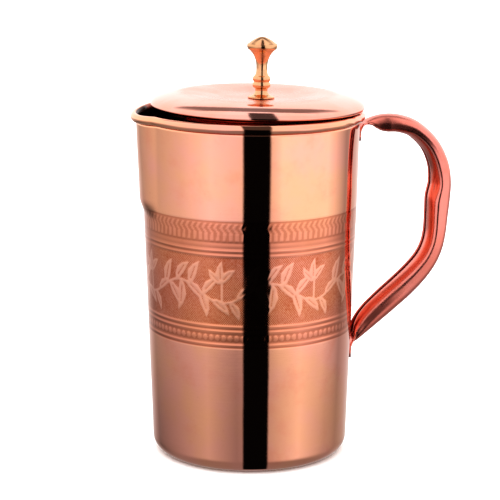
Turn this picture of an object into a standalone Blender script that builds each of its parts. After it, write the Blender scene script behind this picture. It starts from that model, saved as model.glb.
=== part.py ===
"""Copper water jug with a lift-off lid, a turned knob and a folded-sheet handle.

Metres, +Z up. The origin is the centre of the flat base. The spout points along -X and the handle along +X.
"""

import math

import bmesh
import bpy
from mathutils import Matrix, Vector

GAP = 0.0003  # clearance kept between pieces that touch

# Jug body: one drawn shell
BASE_WALL_R = 0.05442  # outer radius of the wall, carried down to z = 0
WALL_TAPER = 0.0364
UPPER_TAPER_LOSS = 0.014  # the taper eases by this much above the band
WALL_T = 0.0009
BASE_T = 0.0012
CORNER_R = 0.0084
CORNER_STEPS = 6

# Raised rings that border the decorated band
BAND_BOTTOM_Z = 0.0722
BAND_TOP_Z = 0.1410
RING_ZS = (0.0732, 0.0818, 0.1258, 0.1400)
RING_HALF_H = 0.0007
RING_RISE = 0.0003

# Rolled rim
RIM_Z = 0.1910
RIM_R = 0.0613
RIM_HALF_W = 0.0023
RIM_HALF_H = 0.0025
RIM_END_DEG = -110
RIM_NECK = ((0.1845, 0.0), (0.1861, 0.0003), (0.1877, 0.0009), (0.1891, 0.0013))
RIM_LEAN = 0.0005  # the rim stands this much lower at the handle and higher opposite
RIM_LEAN_START_Z = 0.1720

# Spout: a bulge pressed out of the wall and the rim
SPOUT_HALF_ANGLE = math.radians(21)
SPOUT_WALL_RISE = 0.0024
SPOUT_RIM_RISE = 0.0031
SPOUT_START_Z = 0.1360
SPOUT_FULL_Z = 0.1460
SPOUT_DROOP = 0.0010  # the lip dips this much at its tip
SPOUT_STEP_DEG = 3
ROUND_STEP_DEG = 6

# Lid, pushed toward the handle so that the spout stays open
LID_X = 0.0040
LID_Z = 0.1943  # underside of the rolled edge
LID_T = 0.0008
LID_BEAD_R = 0.00175
LID_R = 0.0592
LID_LEAN = math.radians(0.97)  # the lid sits a little lower at the handle
LID_HOLE_R = 0.0023
LID_HOLE_REACH = 0.004  # the hole cutter above and below the lid's face
LID_LIFT = 0.12
LID_FLAT_R = 0.0140  # the sunken middle is flat out to here
LID_CREST_R = 0.0400
LID_CREST_H = 0.0085  # top of the raised ring above LID_Z
LID_FALL = 1.5  # how fast the face starts to fall outside the crest
LID_INNER_STEPS = 5
LID_OUTER_STEPS = 11
LID_ROLL_START_DEG = -8
LID_ROLL_END_DEG = -200
LID_SKIRT_R = 0.0560  # outside this radius the sheet turns down into the rolled edge
LID_CENTRE_TOP = 0.0053

# Locating ring under the lid
COLLAR_R = 0.0530
COLLAR_T = 0.0008
COLLAR_FLANGE_R = 0.0490
COLLAR_BOTTOM_Z = 0.1870
COLLAR_TOP = 0.0048  # top of the ring's flange above LID_Z

# Knob: radius and height above its own foot. It stands off the lid's centre.
KNOB_X = 0.0059
KNOB_PROFILE = (
    (0.0073, 0.0000), (0.0073, 0.0006), (0.0054, 0.0012), (0.0040, 0.0022), (0.0034, 0.0038),
    (0.0036, 0.0051), (0.0046, 0.0058), (0.0050, 0.0070), (0.0048, 0.0080), (0.0043, 0.0088),
    (0.0048, 0.0096), (0.0050, 0.0106), (0.0046, 0.0117), (0.0037, 0.0126), (0.0032, 0.0144),
    (0.0031, 0.0170), (0.0034, 0.0198), (0.0041, 0.0221), (0.0051, 0.0240), (0.0066, 0.0258),
    (0.0080, 0.0270), (0.00845, 0.0283), (0.0083, 0.0295), (0.0074, 0.0302), (0.0050, 0.0319),
    (0.0022, 0.0333), (0.0, 0.0338),
)
KNOB_BORE_R = 0.0023
KNOB_BORE_DEPTH = 0.0120
WASHER_R = 0.0065
WASHER_T = 0.0010
SCREW_R = 0.0020
SCREW_HEAD_R = 0.0040
SCREW_HEAD_H = 0.0024
SCREW_SLOT_W = 0.0010
SCREW_SLOT_D = 0.0010
SCREW_REACH = 0.0105  # length inside the knob

# Handle: one folded strip. Its line is the middle of the strip, on the outer side of the grip
STRIP_T = 0.0012
UPPER_TAB_Z = (0.1752, 0.1778, 0.1802)
LOWER_TAB_Z = (0.0568, 0.0538, 0.0508)
# x, z, depth of the fold, half width, how far the fold is closed
HANDLE_LINE = (
    (0.0629, 0.1835, 0.0020, 0.0080, 0.00),
    (0.0660, 0.1853, 0.0048, 0.0080, 0.30),
    (0.0712, 0.1873, 0.0084, 0.0084, 0.80),
    (0.0780, 0.1884, 0.0090, 0.0090, 1.00),
    (0.0860, 0.1877, 0.0088, 0.0096, 1.00),
    (0.0948, 0.1845, 0.0086, 0.0098, 1.00),
    (0.1030, 0.1782, 0.0088, 0.0098, 1.00),
    (0.1092, 0.1705, 0.0093, 0.0098, 1.00),
    (0.1137, 0.1605, 0.0102, 0.0098, 1.00),
    (0.1155, 0.1500, 0.0112, 0.0100, 1.00),
    (0.1151, 0.1400, 0.0126, 0.0100, 1.00),
    (0.1141, 0.1310, 0.0118, 0.0100, 1.00),
    (0.1129, 0.1200, 0.0110, 0.0100, 1.00),
    (0.1109, 0.1107, 0.0110, 0.0100, 1.00),
    (0.1070, 0.1020, 0.0114, 0.0100, 1.00),
    (0.1008, 0.0934, 0.0122, 0.0100, 1.00),
    (0.0926, 0.0850, 0.0127, 0.0098, 1.00),
    (0.0840, 0.0777, 0.0126, 0.0096, 1.00),
    (0.0752, 0.0705, 0.0119, 0.0092, 1.00),
    (0.0680, 0.0648, 0.0104, 0.0088, 0.92),
    (0.0625, 0.0605, 0.0084, 0.0084, 0.60),
    (0.0592, 0.0587, 0.0040, 0.0080, 0.20),
)
LINE_STEPS = 2  # stations made between neighbouring points of the line
FOLD_HALF_TURN = math.radians(168)
FOLD_SAMPLES = 20
FLANK_GROOVE = 0.0012
FLANK_GROOVE_DEG = 14

# Rivets
RIVET_R = 0.0016
RIVET_HOLE_R = 0.0019
RIVET_HEAD_R = 0.0028
RIVET_INNER_H = 0.0010
RIVET_OUTER_H = 0.0008
UPPER_RIVET_Z = 0.1783
LOWER_RIVET_Z = 0.0540


def wall_radius(z):
    return BASE_WALL_R + WALL_TAPER * z - UPPER_TAPER_LOSS * max(0.0, z - BAND_TOP_Z)


def smooth_step(low, high, value):
    t = min(1.0, max(0.0, (value - low) / (high - low)))
    return t * t * (3 - 2 * t)


def spout_rise(angle, z):
    off = abs(abs(angle) - math.pi)
    if off >= SPOUT_HALF_ANGLE or z <= SPOUT_START_Z:
        return 0.0
    across = math.cos(0.5 * math.pi * off / SPOUT_HALF_ANGLE)
    up = smooth_step(SPOUT_START_Z, SPOUT_FULL_Z, z)
    to_rim = smooth_step(SPOUT_FULL_Z, RIM_Z, z)
    return across * up * (SPOUT_WALL_RISE + to_rim * (SPOUT_RIM_RISE - SPOUT_WALL_RISE))


def rim_shift(angle, z):
    """Height added near the rim: it leans towards the handle and dips at the lip."""
    lean = -RIM_LEAN * math.cos(angle) * smooth_step(RIM_LEAN_START_Z, RIM_NECK[0][0], z)
    off = abs(abs(angle) - math.pi)
    if off >= SPOUT_HALF_ANGLE:
        return lean
    across = math.cos(0.5 * math.pi * off / SPOUT_HALF_ANGLE)
    return lean - SPOUT_DROOP * across * smooth_step(RIM_LEAN_START_Z, RIM_Z, z)


def material(name, colour, roughness):
    made = bpy.data.materials.new(name)
    made.use_nodes = True
    shader = made.node_tree.nodes["Principled BSDF"]
    shader.inputs["Base Color"].default_value = (*colour, 1)
    shader.inputs["Metallic"].default_value = 1.0
    shader.inputs["Roughness"].default_value = roughness
    return made


def add_object(name, points, faces, colour, roughness, smooth=True):
    mesh = bpy.data.meshes.new(name)
    mesh.from_pydata([tuple(p) for p in points], [], faces)
    fixed = bmesh.new()
    fixed.from_mesh(mesh)
    bmesh.ops.recalc_face_normals(fixed, faces=fixed.faces)
    if fixed.calc_volume(signed=True) < 0:
        bmesh.ops.reverse_faces(fixed, faces=fixed.faces)
    fixed.to_mesh(mesh)
    fixed.free()
    for polygon in mesh.polygons:
        polygon.use_smooth = smooth
    mesh.materials.append(material(name, colour, roughness))
    obj = bpy.data.objects.new(name, mesh)
    bpy.context.scene.collection.objects.link(obj)
    return obj


def revolved(profile, angles, centre=(0.0, 0.0), rise=None, shift=None, ring=False):
    """Points and faces of a profile of (r, z) turned about a vertical axis through centre.

    A profile that starts and ends on the axis closes there. With ring it closes on itself instead.
    rise(angle, z) adds to the radius and shift(angle, z) to the height.
    """
    points = []
    rows = []
    for r, z in profile:
        if r <= 0:
            rows.append([len(points)])
            points.append((centre[0], centre[1], z))
            continue
        row = []
        for angle in angles:
            far = r + (rise(angle, z) if rise else 0.0)
            high = z + (shift(angle, z) if shift else 0.0)
            row.append(len(points))
            points.append((centre[0] + far * math.cos(angle), centre[1] + far * math.sin(angle), high))
        rows.append(row)
    faces = []
    count = len(angles)
    pairs = list(zip(rows, rows[1:]))
    if ring:
        pairs.append((rows[-1], rows[0]))
    for low, high in pairs:
        for i in range(count):
            j = (i + 1) % count
            if len(low) == 1:
                faces.append((low[0], high[j], high[i]))
            elif len(high) == 1:
                faces.append((low[i], low[j], high[0]))
            else:
                faces.append((low[i], low[j], high[j], high[i]))
    return points, faces


def even_angles(count):
    return [2 * math.pi * i / count for i in range(count)]


def body_angles():
    """Angles from -180 to 180 degrees, closer together over the spout."""
    spout = 30
    degrees = list(range(-180, -180 + spout, SPOUT_STEP_DEG))
    degrees += list(range(-180 + spout, 180 - spout, ROUND_STEP_DEG))
    degrees += list(range(180 - spout, 180, SPOUT_STEP_DEG))
    return [math.radians(d) for d in degrees]


def arc(centre, half_w, half_h, start, end, steps):
    out = []
    for i in range(steps + 1):
        angle = math.radians(start + (end - start) * i / steps)
        out.append((centre[0] + half_w * math.cos(angle), centre[1] + half_h * math.sin(angle)))
    return out


def body_profile():
    corner_x = wall_radius(CORNER_R) - CORNER_R
    out = [(0.0, 0.0), (0.022, 0.0), (0.038, 0.0)]
    out += arc((corner_x, CORNER_R), CORNER_R, CORNER_R, -90, 0, CORNER_STEPS)
    heights = [0.030, 0.052]
    for z in RING_ZS:
        heights += [z - RING_HALF_H, z, z + RING_HALF_H]
    heights += [0.100, 0.1435, 0.1465, 0.160, 0.174]
    for z in sorted(heights):
        out.append((wall_radius(z) + (RING_RISE if z in RING_ZS else 0.0), z))
    out += [(wall_radius(z) - inward, z) for z, inward in RIM_NECK]
    centre = (RIM_R, RIM_Z)
    out += arc(centre, RIM_HALF_W - WALL_T, RIM_HALF_H - WALL_T, 180, RIM_END_DEG, 9)
    out += arc(centre, RIM_HALF_W, RIM_HALF_H, RIM_END_DEG, 180, 11)
    out += [(wall_radius(z) - inward - WALL_T, z) for z, inward in reversed(RIM_NECK)]
    for z in (0.160, 0.1465, 0.1410, 0.1360, 0.100, 0.040):
        out.append((wall_radius(z) - WALL_T, z))
    inner = CORNER_R - WALL_T
    out += arc((corner_x, BASE_T + inner), inner, inner, 0, -90, CORNER_STEPS)
    out += [(0.030, BASE_T), (0.0, BASE_T)]
    return out


def lid_height(r):
    """Height of the outer face above LID_Z: a sunken middle, a crest, a rounded fall to the edge."""
    if r <= LID_CREST_R:
        return LID_CENTRE_TOP + (LID_CREST_H - LID_CENTRE_TOP) * smooth_step(LID_FLAT_R, LID_CREST_R, r)
    out = min(1.0, (r - LID_CREST_R) / (LID_R - LID_CREST_R))
    return LID_BEAD_R + (LID_CREST_H - LID_BEAD_R) * math.sqrt(1 - out ** LID_FALL)


def lid_radii():
    """Radii from the axis to the edge, closer together towards the edge."""
    radii = [0.0, LID_FLAT_R]
    for i in range(1, LID_INNER_STEPS + 1):
        radii.append(LID_FLAT_R + (LID_CREST_R - LID_FLAT_R) * i / LID_INNER_STEPS)
    for i in range(1, LID_OUTER_STEPS + 1):
        turn = math.pi / 2 * i / LID_OUTER_STEPS
        radii.append(LID_CREST_R + (LID_R - LID_CREST_R) * math.sin(turn))
    return radii


def lid_profile():
    """Section of the pressed lid from its axis: outer face, rolled edge, end of the roll, inner face."""
    face = [(r, lid_height(r)) for r in lid_radii()]
    outer = [(r, z + LID_Z) for r, z in face]
    centre = (LID_R - LID_BEAD_R, LID_Z + LID_BEAD_R)
    inner_r = LID_BEAD_R - LID_T
    roll = arc(centre, LID_BEAD_R, LID_BEAD_R, LID_ROLL_START_DEG, LID_ROLL_END_DEG, 11)
    back = arc(centre, inner_r, inner_r, LID_ROLL_END_DEG, LID_ROLL_START_DEG, 9)
    inner = []
    for r, z in reversed(face):
        skirt = smooth_step(LID_SKIRT_R, LID_R, r)
        inner.append((r - LID_T * skirt, z + LID_Z - LID_T * (1 - skirt)))
    return outer + roll + back + inner


def cut(target, cutter):
    cutter.hide_render = True
    cutter.display_type = "WIRE"
    modifier = target.modifiers.new("cut_" + cutter.name, "BOOLEAN")
    modifier.operation = "DIFFERENCE"
    modifier.solver = "EXACT"
    modifier.object = cutter


def radial_matrix(angle, radius, z):
    """Carries +Z of a turned piece onto the outward radial direction at this angle and height."""
    out = Vector((math.cos(angle), math.sin(angle), 0.0))
    turn = out.to_track_quat("Z", "Y").to_matrix().to_4x4()
    return Matrix.Translation(out * radius + Vector((0.0, 0.0, z))) @ turn


def spline(points, steps):
    """Catmull-Rom stations through the points, with this many steps from each point to the next."""
    out = []
    last = len(points) - 1
    for i in range(last):
        a, b, c, d = (points[max(0, min(last, i + k))] for k in (-1, 0, 1, 2))
        for k in range(steps):
            t = k / steps
            out.append([
                0.5 * (2 * q + (r - p) * t + (2 * p - 5 * q + 4 * r - s) * t ** 2
                       + (3 * q - p - 3 * r + s) * t ** 3)
                for p, q, r, s in zip(a, b, c, d)
            ])
    out.append(list(points[last]))
    return out


def handle_stations():
    on_wall = GAP + STRIP_T / 2
    upper = [(wall_radius(z) + on_wall, z, 0.002, 0.008, 0.0) for z in UPPER_TAB_Z]
    lower = [(wall_radius(z) + on_wall, z, 0.002, 0.008, 0.0) for z in LOWER_TAB_Z]
    line = spline([upper[-1], *HANDLE_LINE, lower[0]], LINE_STEPS)
    return upper[:-1] + line + lower[1:]


def fold_point(u, depth, half_width, closed, hug):
    """Middle of the strip at u (-1 to 1): (across, along the outward normal) from the strip's own line."""
    turn = u * FOLD_HALF_TURN
    groove = math.exp(-((abs(math.degrees(turn)) - 92) / FLANK_GROOVE_DEG) ** 2) * FLANK_GROOVE
    across = (half_width - groove) * math.sin(turn)
    inward = -0.5 * depth * (1 - math.cos(turn))
    flat = (u * half_width, hug * (u * half_width) ** 2)
    return (
        closed * across + (1 - closed) * flat[0],
        closed * inward + (1 - closed) * flat[1],
    )


def strip_outline(depth, half_width, closed, hug):
    """Both faces of the folded strip as one closed outline."""
    us = [-1 + 2 * i / FOLD_SAMPLES for i in range(FOLD_SAMPLES + 1)]
    middle = [fold_point(u, depth, half_width, closed, hug) for u in us]
    sides = ([], [])
    for i, (b, n) in enumerate(middle):
        before = middle[max(0, i - 1)]
        after = middle[min(FOLD_SAMPLES, i + 1)]
        along = Vector((after[0] - before[0], after[1] - before[1])).normalized()
        for side, sign in zip(sides, (1, -1)):
            side.append((b - sign * along.y * STRIP_T / 2, n + sign * along.x * STRIP_T / 2))
    return sides[0] + sides[1][::-1]


def build_handle():
    stations = handle_stations()
    last = len(stations) - 1
    points = []
    rows = []
    for i, (x, z, depth, half_width, closed) in enumerate(stations):
        before = stations[max(0, i - 1)]
        after = stations[min(last, i + 1)]
        along = Vector((after[0] - before[0], after[1] - before[1])).normalized()
        normal = Vector((-along.y, along.x))
        hug = (0.5 if i < last / 2 else -0.5) / wall_radius(z)
        closed = min(1.0, max(0.0, closed))
        row = []
        for b, n in strip_outline(depth, half_width, closed, hug):
            row.append(len(points))
            points.append((x + normal.x * n, b, z + normal.y * n))
        rows.append(row)
    faces = []
    count = len(rows[0])
    for low, high in zip(rows, rows[1:]):
        for i in range(count):
            j = (i + 1) % count
            faces.append((low[i], low[j], high[j], high[i]))
    for end in (rows[0], rows[-1]):
        for i in range(count // 2 - 1):
            faces.append((end[i], end[i + 1], end[count - 2 - i], end[count - 1 - i]))
    return add_object("handle", points, faces, (0.55, 0.16, 0.09), 0.25)


def rivet_profile(wall_in, strip_out):
    """Rivet along +Z: flat head inside the wall, shank, low domed head outside the strip."""
    inside = wall_in - GAP
    outside = strip_out + GAP
    dome = [
        (RIVET_HEAD_R * math.cos(t), outside + RIVET_OUTER_H * math.sin(t))
        for t in (0.0, 0.45, 0.9, 1.25)
    ]
    return [
        (0.0, inside - RIVET_INNER_H), (RIVET_HEAD_R - 0.0004, inside - RIVET_INNER_H),
        (RIVET_HEAD_R, inside - RIVET_INNER_H + 0.0004), (RIVET_HEAD_R, inside),
        (RIVET_R, inside), (RIVET_R, outside), *dome, (0.0, outside + RIVET_OUTER_H),
    ]


def build_rivets(body, handle):
    for name, z in (("upper", UPPER_RIVET_Z), ("lower", LOWER_RIVET_Z)):
        outer = wall_radius(z)
        sag = RIVET_HEAD_R ** 2 / (2 * outer) + WALL_TAPER * RIVET_HEAD_R
        matrix = radial_matrix(0.0, outer, z)
        profile = rivet_profile(-WALL_T - sag, GAP + STRIP_T + sag)
        points, faces = revolved(profile, even_angles(24))
        rivet = add_object(f"rivet_{name}", points, faces, (0.62, 0.24, 0.13), 0.3)
        rivet.matrix_world = matrix
        reach = [(0.0, -0.004), (RIVET_HOLE_R, -0.004), (RIVET_HOLE_R, 0.004), (0.0, 0.004)]
        points, faces = revolved(reach, even_angles(24))
        for target in (body, handle):
            cutter = add_object(f"{target.name}_{name}_hole", points, faces, (0.5, 0.5, 0.5), 0.5)
            cutter.matrix_world = matrix
            cut(target, cutter)


def build_body():
    points, faces = revolved(body_profile(), body_angles(), rise=spout_rise, shift=rim_shift)
    return add_object("jug_body", points, faces, (0.72, 0.31, 0.19), 0.18)


def build_lid():
    centre = (LID_X, 0.0)
    copper = (0.75, 0.36, 0.24)
    brass = (0.78, 0.45, 0.2)
    points, faces = revolved(lid_profile(), even_angles(72), centre)
    lid = add_object("lid_shell", points, faces, copper, 0.2)
    hole_z = LID_Z + LID_CENTRE_TOP
    low = hole_z - LID_HOLE_REACH
    high = hole_z + LID_HOLE_REACH
    reach = [(0.0, low), (LID_HOLE_R, low), (LID_HOLE_R, high), (0.0, high)]
    points, faces = revolved(reach, even_angles(32), (KNOB_X, 0.0))
    hole = add_object("lid_hole", points, faces, (0.5, 0.5, 0.5), 0.5)
    cut(lid, hole)

    flange_z = LID_Z + COLLAR_TOP
    ring = [
        (COLLAR_R, flange_z), (COLLAR_R, COLLAR_BOTTOM_Z), (COLLAR_R - COLLAR_T, COLLAR_BOTTOM_Z),
        (COLLAR_R - COLLAR_T, flange_z - COLLAR_T), (COLLAR_FLANGE_R, flange_z - COLLAR_T),
        (COLLAR_FLANGE_R, flange_z),
    ]
    points, faces = revolved(ring, even_angles(64), centre, ring=True)
    collar = add_object("lid_collar", points, faces, copper, 0.3, smooth=False)

    centre = (KNOB_X, 0.0)
    foot_z = LID_Z + LID_CENTRE_TOP + GAP
    knob_ring = [(r, foot_z + z) for r, z in KNOB_PROFILE]
    bore_top = foot_z + KNOB_BORE_DEPTH
    profile = [(0.0, bore_top), (KNOB_BORE_R, bore_top), (KNOB_BORE_R, foot_z), *knob_ring]
    points, faces = revolved(profile, even_angles(32), centre)
    knob = add_object("lid_knob", points, faces, brass, 0.2)

    under = LID_Z + LID_CENTRE_TOP - LID_T - GAP
    washer_ring = [
        (KNOB_BORE_R, under), (WASHER_R, under), (WASHER_R, under - WASHER_T),
        (KNOB_BORE_R, under - WASHER_T),
    ]
    points, faces = revolved(washer_ring, even_angles(40), centre, ring=True)
    washer = add_object("knob_washer", points, faces, brass, 0.35, smooth=False)

    head_top = under - WASHER_T - GAP
    head_bottom = head_top - SCREW_HEAD_H
    profile = [
        (0.0, head_bottom), (0.0028, head_bottom), (0.0037, head_bottom + 0.0006),
        (SCREW_HEAD_R, head_bottom + 0.0014), (SCREW_HEAD_R, head_top), (SCREW_R, head_top),
        (SCREW_R, foot_z + SCREW_REACH - 0.0006), (SCREW_R - 0.0006, foot_z + SCREW_REACH),
        (0.0, foot_z + SCREW_REACH),
    ]
    points, faces = revolved(profile, even_angles(28), centre)
    screw = add_object("knob_screw", points, faces, brass, 0.35)
    half = SCREW_SLOT_W / 2
    deep = head_bottom + SCREW_SLOT_D
    low = head_bottom - 0.001
    corners = [
        (KNOB_X + x, y, z) for z in (low, deep)
        for x, y in ((-0.005, -half), (0.005, -half), (0.005, half), (-0.005, half))
    ]
    sides = [(i, (i + 1) % 4, (i + 1) % 4 + 4, i + 4) for i in range(4)]
    slot = add_object(
        "screw_slot", corners, [(0, 1, 2, 3), (4, 5, 6, 7), *sides], (0.5, 0.5, 0.5), 0.5, smooth=False
    )
    cut(screw, slot)

    seat = Vector((LID_X, 0.0, LID_Z))
    lean = Matrix.Translation(seat) @ Matrix.Rotation(LID_LEAN, 4, "Y") @ Matrix.Translation(-seat)
    for obj in (lid, hole, collar, knob, washer, screw, slot):
        obj.data.transform(lean)
    return lid, collar, knob, washer, screw


def put_under_empty(name, location, objects):
    """An empty on the joint's axis, with the moving pieces under it and left where they are."""
    empty = bpy.data.objects.new(name, None)
    bpy.context.scene.collection.objects.link(empty)
    empty.location = location
    for obj in objects:
        obj.parent = empty
        obj.matrix_parent_inverse = Matrix.Translation(-Vector(location))


for old in list(bpy.data.objects):
    bpy.data.objects.remove(old, do_unlink=True)

jug_body = build_body()
jug_handle = build_handle()
build_rivets(jug_body, jug_handle)
put_under_empty("lid_axis", (LID_X, 0.0, LID_Z), build_lid())
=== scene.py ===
"""Copper water jug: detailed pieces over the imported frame, with finishes, studio and camera.

Metres, +Z up. The origin is the centre of the base. The spout points along -X and the handle along +X.
Band heights and pattern sizes are written in millimetres.
"""

import math

import bpy
import numpy as np
from mathutils import Matrix, Vector


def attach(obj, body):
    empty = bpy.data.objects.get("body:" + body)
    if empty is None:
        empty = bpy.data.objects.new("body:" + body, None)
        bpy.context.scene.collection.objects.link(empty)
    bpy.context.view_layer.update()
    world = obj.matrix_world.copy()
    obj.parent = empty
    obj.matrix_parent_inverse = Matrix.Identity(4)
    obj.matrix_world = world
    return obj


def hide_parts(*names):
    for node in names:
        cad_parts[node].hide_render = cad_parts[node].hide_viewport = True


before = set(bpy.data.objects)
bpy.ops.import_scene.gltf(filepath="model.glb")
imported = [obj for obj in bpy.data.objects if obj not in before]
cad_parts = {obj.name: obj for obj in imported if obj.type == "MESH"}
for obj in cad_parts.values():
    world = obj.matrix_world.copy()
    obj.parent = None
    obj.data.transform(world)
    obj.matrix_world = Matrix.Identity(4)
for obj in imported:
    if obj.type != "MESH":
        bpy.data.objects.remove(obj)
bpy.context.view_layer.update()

MM = 0.001

# ---------------------------------------------------------------- jug wall and rim
BASE_WALL_R = 0.05442
WALL_TAPER = 0.0364
UPPER_TAPER_LOSS = 0.014
BAND_TOP_Z = 0.1410
WALL_T = 0.0009
BASE_T = 0.0012
CORNER_R = 0.0084
RIM_Z = 0.1910
RIM_LEAN = 0.0005
RIM_LEAN_START_Z = 0.1720
RIM_LEAN_FULL_Z = 0.1845
RIM_R = 0.0613
RIM_HALF_W = 0.0023
RIM_HALF_H = 0.0025
RIM_END_DEG = -110
RIM_NECK = ((0.1862, 0.0), (0.1874, 0.0), (0.1880, 0.0001), (0.1885, 0.0004), (0.1889, 0.0009))
SPOUT_HALF_ANGLE = math.radians(21)
SPOUT_WALL_RISE = 0.0024
SPOUT_RIM_RISE = 0.0031
SPOUT_START_Z = 0.1360
SPOUT_FULL_Z = 0.1460
SPOUT_DROOP = 0.0010

BAND_COLUMNS = 560
WALL_COLUMNS = 280
INSIDE_COLUMNS = 140

# ---------------------------------------------------------------- decorated band, millimetres
BAND_R = 58.5
FACING_DEG = 258.0
REPEATS = 7
REPEAT_DEG = 360.0 / REPEATS
REPEAT_MM = 2 * math.pi * BAND_R / REPEATS
MOTIF_START_DEG = -53.0
FIELD_LOW = 84.5
FIELD_HIGH = 121.8
LINE_RISE = 0.05
LINE_CENTRES = (73.2, 80.7, 83.5, 122.8, 125.4)
LINE_HALF = 0.75
GROOVES = (
    (71.9, 0.45), (74.7, 0.5), (79.4, 0.45), (82.1, 0.55), (124.1, 0.5), (126.6, 0.4), (129.6, 0.4),
    (140.9, 0.5),
)
GROOVE_DEPTH = 0.04
FIELD_SINK = 0.02
MOTIF_RISE = 0.03
BEAD_COUNT = 102
BEAD_WALL_R = 57.3
BEAD_Z = 77.1
BEAD_HALF_H = 1.75
BEAD_HALF_W = 1.45
BEAD_RISE = 0.05
BEAD_CHANNEL_SINK = 0.03
BRAID_COUNT = 108
BRAID_LOW = 130.1
BRAID_MIDDLE = 135.2
BRAID_JOIN = 137.6
BRAID_HIGH = 140.3
BRAID_RISE = 0.025
BRAID_SINK = 0.01

# A plain running vine. Each leaf: place along one repeat (0 to 1), heading in degrees, then length and
# half width in mm
VINE_MIDDLE = 102.0
VINE_SWING = 5.5
VINE_STEPS = 18
VINE_HALF = 0.62
VINE_LEAVES = (
    (0.04, 72, 15.0, 2.9), (0.09, -58, 14.5, 2.7), (0.20, 50, 13.5, 2.6), (0.26, -98, 17.0, 2.8),
    (0.33, -42, 15.0, 2.6), (0.38, 66, 14.0, 2.8), (0.48, -72, 15.0, 2.7), (0.53, 44, 13.5, 2.5),
    (0.63, -40, 12.5, 2.4), (0.82, -62, 11.0, 2.2), (0.90, 34, 12.0, 2.3),
)
FLOWER_AT = 0.74
FLOWER_STALK = 11.0
FLOWER_PETALS = ((46, 10.5, 2.1), (90, 12.0, 2.2), (134, 10.5, 2.1))
BLADE = ((0.0, 0.25), (0.2, 0.72), (0.45, 1.0), (0.7, 0.72), (0.88, 0.36), (1.0, 0.08))
BLADE_BEND = 0.10
VEIN = ((0.22, 0.16), (0.72, 0.12))
NO_MOTIF = -4.0  # distance that stands for no leaf near


def smooth(low, high, value):
    t = np.clip((value - low) / (high - low), 0, 1)
    return t * t * (3 - 2 * t)


def vine_height(x):
    return VINE_MIDDLE + VINE_SWING * math.sin(2 * math.pi * x / REPEAT_MM)


def blade(x, z, heading_deg, length, half_width, stations):
    """A stroke along a gently curved leaf that starts at x, z: (along, height, half width) in mm."""
    c = math.cos(math.radians(heading_deg))
    n = math.sin(math.radians(heading_deg))
    out = []
    for t, width in stations:
        bend = BLADE_BEND * length * math.sin(math.pi * t)
        out.append((x + t * length * c - bend * n, z + t * length * n + bend * c, half_width * width))
    return out


def vine_strokes():
    """Strokes of one repeat of the vine, and the veins cut into its leaves."""
    xs = [REPEAT_MM * i / VINE_STEPS for i in range(VINE_STEPS + 1)]
    strokes = [[(x, vine_height(x), VINE_HALF) for x in xs]]
    flower_x = FLOWER_AT * REPEAT_MM
    flower_z = vine_height(flower_x)
    strokes.append([(flower_x, flower_z, VINE_HALF), (flower_x, flower_z + FLOWER_STALK, VINE_HALF)])
    leaves = [(at * REPEAT_MM, vine_height(at * REPEAT_MM), *leaf) for at, *leaf in VINE_LEAVES]
    leaves += [(flower_x, flower_z + FLOWER_STALK, *petal) for petal in FLOWER_PETALS]
    strokes += [blade(*leaf, BLADE) for leaf in leaves]
    return strokes, [blade(*leaf, VEIN) for leaf in leaves]


def stroke_distance(s, z, stroke):
    """Signed distance in mm from the edge of one stroke, positive inside."""
    best = np.full(s.shape, -1e3)
    for (x0, z0, r0), (x1, z1, r1) in zip(stroke, stroke[1:]):
        dx = x1 - x0
        dz = z1 - z0
        t = np.clip(((s - x0) * dx + (z - z0) * dz) / (dx * dx + dz * dz), 0, 1)
        gap = np.hypot(s - x0 - t * dx, z - z0 - t * dz)
        best = np.maximum(best, r0 + t * (r1 - r0) - gap)
    return best


STROKES, VEINS = vine_strokes()


def motif_distance(degrees, z):
    """Signed distance from the edge of the vine at this angle and height, positive inside."""
    along = ((degrees - MOTIF_START_DEG) % REPEAT_DEG) * REPEAT_MM / REPEAT_DEG
    best = np.full(np.shape(z), NO_MOTIF)
    for shift in (0.0, REPEAT_MM, -REPEAT_MM):
        s = along + shift
        for stroke in STROKES:
            best = np.maximum(best, stroke_distance(s, z, stroke))
        for stroke in VEINS:
            best = np.minimum(best, -stroke_distance(s, z, stroke))
    return best


def wall_radius(z):
    return BASE_WALL_R + WALL_TAPER * z - UPPER_TAPER_LOSS * np.maximum(0.0, z - BAND_TOP_Z)


def spout_across(off):
    """1 at the middle of the spout, falling to 0 at its sides; off is the angle from its middle."""
    share = np.minimum(off / SPOUT_HALF_ANGLE, 1)
    return np.where(off < SPOUT_HALF_ANGLE, np.cos(0.5 * math.pi * share), 0)


def spout_rise(angle, z):
    """How far the spout stands out from the wall, in metres."""
    off = np.abs(np.abs(np.mod(angle + math.pi, 2 * math.pi) - math.pi) - math.pi)
    across = spout_across(off)
    up = smooth(SPOUT_START_Z, SPOUT_FULL_Z, z)
    to_rim = smooth(SPOUT_FULL_Z, RIM_Z, z)
    return across * up * (SPOUT_WALL_RISE + to_rim * (SPOUT_RIM_RISE - SPOUT_WALL_RISE))


def rim_shift(angle, z):
    """Height added near the rim: it leans towards the handle and dips at the lip."""
    lean = -RIM_LEAN * np.cos(angle) * smooth(RIM_LEAN_START_Z, RIM_LEAN_FULL_Z, z)
    off = np.abs(np.mod(angle, 2 * math.pi) - math.pi)
    return lean - SPOUT_DROOP * spout_across(off) * smooth(RIM_LEAN_START_Z, RIM_Z, z)


def turns(count):
    return np.arange(count) * 2 * math.pi / count


# ---------------------------------------------------------------- mesh helpers
def signed_volume(points, faces):
    total = 0.0
    for size in {len(face) for face in faces}:
        corners = points[np.array([face for face in faces if len(face) == size])]
        for k in range(1, size - 1):
            total += np.einsum("ij,ij->", corners[:, 0], np.cross(corners[:, k], corners[:, k + 1]))
    return total / 6


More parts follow.
